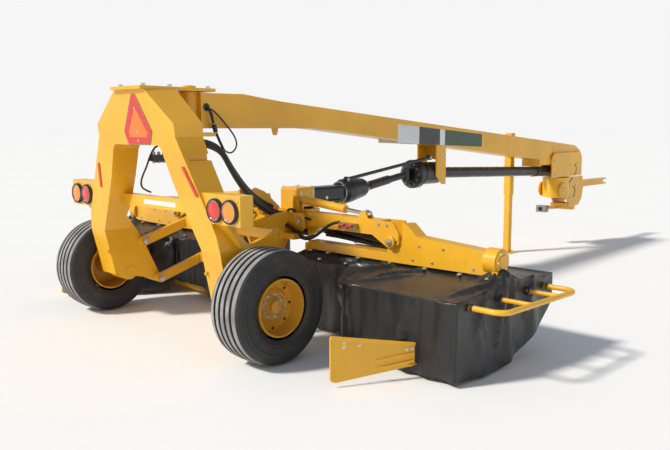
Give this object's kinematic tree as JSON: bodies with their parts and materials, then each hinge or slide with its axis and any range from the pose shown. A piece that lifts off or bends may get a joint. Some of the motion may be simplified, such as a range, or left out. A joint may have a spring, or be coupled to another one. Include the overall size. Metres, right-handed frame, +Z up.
{
  "type": "trailed disc mower",
  "caption": "Trailed disc mower with an arched rear frame, long overhead tongue, lifting cutter beds under black canvas covers, and a parking jack.",
  "frame": {"origin": "on the ground, in the middle of the parked machine's box", "axes": "+Y forward along the tongue, +Z up, +X to the machine's right"},
  "size_m": [5.3778, 8.0099, 1.97],
  "materials": {
    "golden_paint": "satin",
    "rim_paint": "satin",
    "black_canvas": "satin",
    "tyre_rubber": "matte",
    "black_paint": "satin",
    "black_plastic": "satin",
    "bare_steel": "satin",
    "chrome_rod": "gloss",
    "red_lens": "gloss",
    "amber_lens": "gloss",
    "orange_sign": "satin"
  },
  "bodies": {
    "chassis": {"arch_head": "golden_paint", "right_arch_leg": "golden_paint", "left_arch_leg": "golden_paint", "arch_crossbeam": "golden_paint", "pivot_plates": "golden_paint", "lamp_boxes": "golden_paint", "red_lamps": "red_lens", "amber_lamps": "amber_lens", "warning_triangle": "orange_sign"},
    "right_wheel": {"right_tyre": "tyre_rubber", "right_rim": "rim_paint"},
    "left_wheel": {"left_tyre": "tyre_rubber", "left_rim": "rim_paint"},
    "tongue": {"tongue_beam": "golden_paint", "bearing_bracket": "golden_paint", "driveline_bearing": "black_paint", "front_driveshaft": "black_plastic", "front_gearbox": "golden_paint", "jack_tube": "golden_paint"},
    "rear_shaft": {"rear_driveshaft": "black_plastic"},
    "swivel_head": {"hitch_head": "golden_paint", "tow_arm": "golden_paint", "hook_block": "bare_steel"},
    "jack": {"jack_leg": "golden_paint"},
    "lower_link_pair": {"lower_links": "golden_paint"},
    "upper_link_pair": {"upper_links": "golden_paint"},
    "carrier": {"header_carrier": "golden_paint", "centre_gearbox": "golden_paint"},
    "input_gearbox": {"swivel_gearbox": "golden_paint", "input_guard": "black_plastic"},
    "lift_barrel": {"lift_cylinder_barrel": "golden_paint"},
    "lift_rod": {"lift_cylinder_rod": "chrome_rod"},
    "right_arm_body": {"right_arm": "golden_paint", "right_cross_shaft": "black_plastic"},
    "right_arm_barrel": {"right_arm_cylinder_barrel": "golden_paint"},
    "right_arm_rod": {"right_arm_cylinder_rod": "chrome_rod"},
    "right_bed": {"right_bed_frame": "golden_paint", "right_cutterbar": "golden_paint", "right_canvas_cover": "black_canvas", "right_bumper": "golden_paint", "right_swath_board": "golden_paint"},
    "right_disc_1": {"right_cutter_disc_1": "bare_steel"},
    "right_disc_2": {"right_cutter_disc_2": "bare_steel"},
    "right_disc_3": {"right_cutter_disc_3": "bare_steel"},
    "right_disc_4": {"right_cutter_disc_4": "bare_steel"},
    "left_arm_body": {"left_arm": "golden_paint", "left_cross_shaft": "black_plastic"},
    "left_arm_barrel": {"left_arm_cylinder_barrel": "golden_paint"},
    "left_arm_rod": {"left_arm_cylinder_rod": "chrome_rod"},
    "left_bed": {"left_bed_frame": "golden_paint", "left_cutterbar": "golden_paint", "left_canvas_cover": "black_canvas", "left_bumper": "golden_paint", "left_swath_board": "golden_paint"},
    "left_disc_1": {"left_cutter_disc_1": "bare_steel"},
    "left_disc_2": {"left_cutter_disc_2": "bare_steel"},
    "left_disc_3": {"left_cutter_disc_3": "bare_steel"},
    "left_disc_4": {"left_cutter_disc_4": "bare_steel"}
  },
  "joints": [
    {"name": "right_wheel_spin", "type": "hinge", "parent": "chassis", "child": "right_wheel", "pos_m": [1.145, -3.595, 0.41], "axis": [1, 0, 0], "continuous": true},
    {"name": "left_wheel_spin", "type": "hinge", "parent": "chassis", "child": "left_wheel", "pos_m": [-1.145, -3.595, 0.41], "axis": [1, 0, 0], "continuous": true},
    {"name": "tongue_swing", "type": "hinge", "parent": "chassis", "child": "tongue", "pos_m": [0, -3.425, 1.76], "axis": [0, 0, 1], "range_deg": [-25, 25]},
    {"name": "rear_shaft_swing", "type": "hinge", "parent": "tongue", "child": "rear_shaft", "pos_m": [0, -0.7, 1.14], "axis": [0, 0, 1], "range_deg": [-17, 17]},
    {"name": "hitch_swivel", "type": "hinge", "parent": "tongue", "child": "swivel_head", "pos_m": [0, 2.525, 0.9], "axis": [0, 0, 1], "range_deg": [-80, 80]},
    {"name": "jack_slide", "type": "slide", "parent": "tongue", "child": "jack", "axis": [0, 0, 1], "range_m": [0, 0.45]},
    {"name": "header_lift", "type": "hinge", "parent": "chassis", "child": "lower_link_pair", "pos_m": [0, -3.345, 0.32], "axis": [1, 0, 0], "range_deg": [0, 28]},
    {"name": "upper_link_turn", "type": "hinge", "parent": "chassis", "child": "upper_link_pair", "pos_m": [0, -3.495, 0.665], "axis": [1, 0, 0], "range_deg": [0, 28]},
    {"name": "carrier_level", "type": "hinge", "parent": "lower_link_pair", "child": "carrier", "pos_m": [0, -2.895, 0.455], "axis": [1, 0, 0], "range_deg": [-28, 0]},
    {"name": "input_gearbox_turn", "type": "hinge", "parent": "carrier", "child": "input_gearbox", "pos_m": [0, -2.26, 1], "axis": [0, 0, 1], "range_deg": [-42, 42]},
    {"name": "lift_barrel_turn", "type": "hinge", "parent": "chassis", "child": "lift_barrel", "pos_m": [0, -3.595, 1.055], "axis": [1, 0, 0], "range_deg": [0, 13.54]},
    {"name": "lift_rod_slide", "type": "slide", "parent": "lift_barrel", "child": "lift_rod", "axis": [0, 0.9999, -0.0161], "range_m": [-0.0924, 0]},
    {"name": "right_arm_lift", "type": "hinge", "parent": "carrier", "child": "right_arm_body", "pos_m": [0.42, -2.535, 0.85], "axis": [0, -1, 0], "range_deg": [-6, 25]},
    {"name": "right_bed_roll", "type": "hinge", "parent": "right_arm_body", "child": "right_bed", "pos_m": [1.43, -2.535, 0.78], "axis": [0, -1, 0], "range_deg": [-5, 5]},
    {"name": "right_arm_barrel_turn", "type": "hinge", "parent": "carrier", "child": "right_arm_barrel", "pos_m": [0.32, -2.535, 1.03], "axis": [0, -1, 0], "range_deg": [-5.39, 22.14]},
    {"name": "right_arm_rod_slide", "type": "slide", "parent": "right_arm_barrel", "child": "right_arm_rod", "axis": [0.996, 0, -0.0894], "range_m": [-0.0808, 0.0198]},
    {"name": "right_disc_1_spin", "type": "hinge", "parent": "right_bed", "child": "right_disc_1", "pos_m": [0.74, -2.455, 0.11], "axis": [0, 0, 1], "continuous": true},
    {"name": "right_disc_2_spin", "type": "hinge", "parent": "right_bed", "child": "right_disc_2", "pos_m": [1.19, -2.455, 0.11], "axis": [0, 0, 1], "continuous": true},
    {"name": "right_disc_3_spin", "type": "hinge", "parent": "right_bed", "child": "right_disc_3", "pos_m": [1.64, -2.455, 0.11], "axis": [0, 0, 1], "continuous": true},
    {"name": "right_disc_4_spin", "type": "hinge", "parent": "right_bed", "child": "right_disc_4", "pos_m": [2.09, -2.455, 0.11], "axis": [0, 0, 1], "continuous": true},
    {"name": "left_arm_lift", "type": "hinge", "parent": "carrier", "child": "left_arm_body", "pos_m": [-0.42, -2.535, 0.85], "axis": [0, 1, 0], "range_deg": [-6, 25]},
    {"name": "left_bed_roll", "type": "hinge", "parent": "left_arm_body", "child": "left_bed", "pos_m": [-1.43, -2.535, 0.78], "axis": [0, 1, 0], "range_deg": [-5, 5]},
    {"name": "left_arm_barrel_turn", "type": "hinge", "parent": "carrier", "child": "left_arm_barrel", "pos_m": [-0.32, -2.535, 1.03], "axis": [0, 1, 0], "range_deg": [-5.39, 22.14]},
    {"name": "left_arm_rod_slide", "type": "slide", "parent": "left_arm_barrel", "child": "left_arm_rod", "axis": [-0.996, 0, -0.0894], "range_m": [-0.0808, 0.0198]},
    {"name": "left_disc_1_spin", "type": "hinge", "parent": "left_bed", "child": "left_disc_1", "pos_m": [-0.74, -2.455, 0.11], "axis": [0, 0, 1], "continuous": true},
    {"name": "left_disc_2_spin", "type": "hinge", "parent": "left_bed", "child": "left_disc_2", "pos_m": [-1.19, -2.455, 0.11], "axis": [0, 0, 1], "continuous": true},
    {"name": "left_disc_3_spin", "type": "hinge", "parent": "left_bed", "child": "left_disc_3", "pos_m": [-1.64, -2.455, 0.11], "axis": [0, 0, 1], "continuous": true},
    {"name": "left_disc_4_spin", "type": "hinge", "parent": "left_bed", "child": "left_disc_4", "pos_m": [-2.09, -2.455, 0.11], "axis": [0, 0, 1], "continuous": true}
  ],
  "couplings": [
    {"joint": "rear_shaft_swing", "follows": "tongue_swing", "ratio": 0.656},
    {"joint": "upper_link_turn", "follows": "header_lift", "ratio": 1},
    {"joint": "carrier_level", "follows": "header_lift", "ratio": -1},
    {"joint": "input_gearbox_turn", "follows": "tongue_swing", "ratio": 1.656},
    {"joint": "lift_barrel_turn", "follows": "header_lift", "ratio": 0.47987},
    {"joint": "lift_rod_slide", "follows": "header_lift", "m_per_rad": -0.18796},
    {"joint": "right_arm_barrel_turn", "follows": "right_arm_lift", "ratio": 0.88176},
    {"joint": "right_arm_rod_slide", "follows": "right_arm_lift", "m_per_rad": -0.18393},
    {"joint": "right_disc_2_spin", "follows": "right_disc_1_spin", "ratio": -1},
    {"joint": "right_disc_3_spin", "follows": "right_disc_1_spin", "ratio": 1},
    {"joint": "right_disc_4_spin", "follows": "right_disc_1_spin", "ratio": -1},
    {"joint": "left_arm_barrel_turn", "follows": "left_arm_lift", "ratio": 0.88176},
    {"joint": "left_arm_rod_slide", "follows": "left_arm_lift", "m_per_rad": -0.18393},
    {"joint": "left_disc_2_spin", "follows": "left_disc_1_spin", "ratio": -1},
    {"joint": "left_disc_3_spin", "follows": "left_disc_1_spin", "ratio": 1},
    {"joint": "left_disc_4_spin", "follows": "left_disc_1_spin", "ratio": -1}
  ]
}
